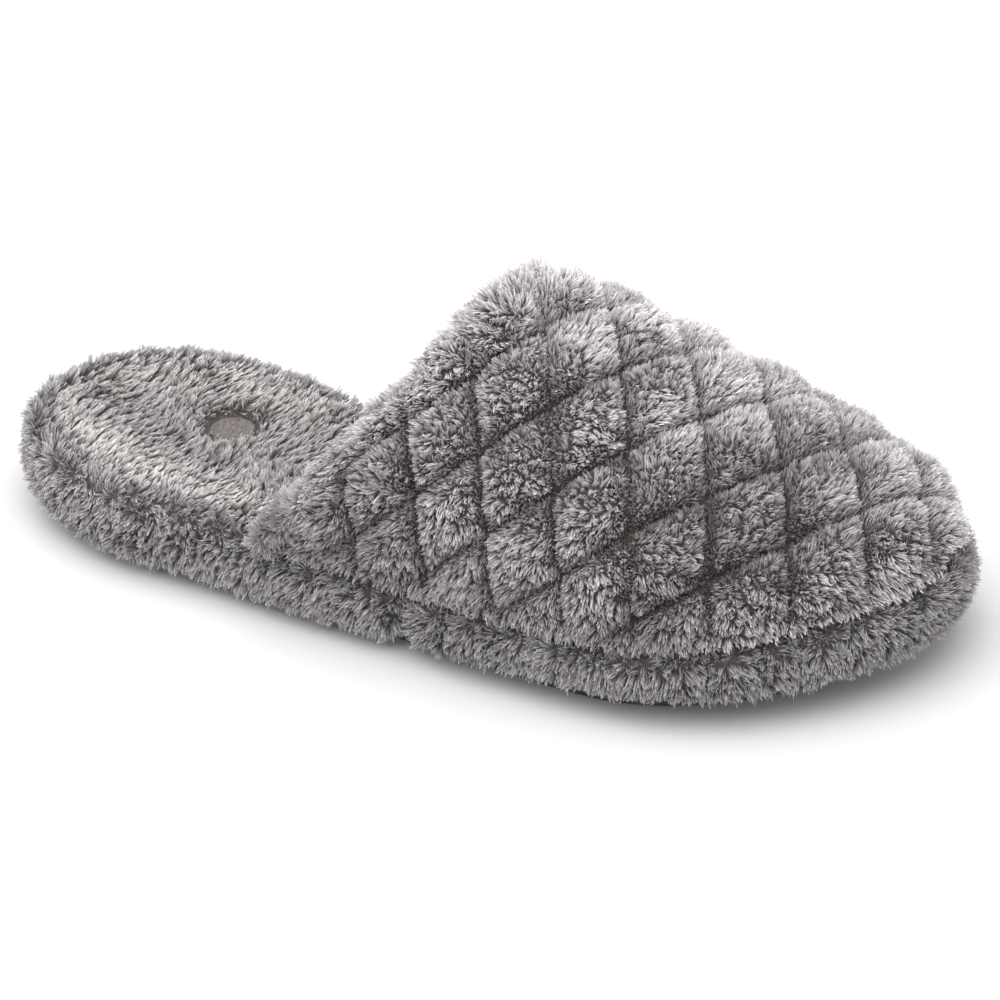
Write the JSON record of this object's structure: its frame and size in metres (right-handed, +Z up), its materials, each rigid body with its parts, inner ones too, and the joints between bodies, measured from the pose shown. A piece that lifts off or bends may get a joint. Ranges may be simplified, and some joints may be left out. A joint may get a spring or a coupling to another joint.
{
  "type": "clog slipper",
  "caption": "Open-back plush clog slipper for the right foot: hollow diamond-quilted vamp on a padded platform wrapped in plush, with a thin rubber outsole",
  "frame": {"origin": "centre of the bounding box in X and Y, on the floor plane under the sole", "axes": "+X towards the toe, +Y towards the medial (big toe) side, +Z up"},
  "size_m": [0.268, 0.1078, 0.0883],
  "materials": {
    "moulded_rubber": "matte moulded rubber with a fine tread",
    "insole_plush": "brushed plush pile over foam",
    "pressed_fabric": "plain pressed fabric disc",
    "wrap_plush": "standing plush pile",
    "quilted_plush": "diamond-quilted plush pile"
  },
  "bodies": {
    "root": {"outsole": "moulded_rubber", "footbed": "insole_plush", "heel_patch": "pressed_fabric", "heel_wrap": "wrap_plush", "toe_wrap": "wrap_plush", "upper": "quilted_plush"}
  },
  "joints": []
}
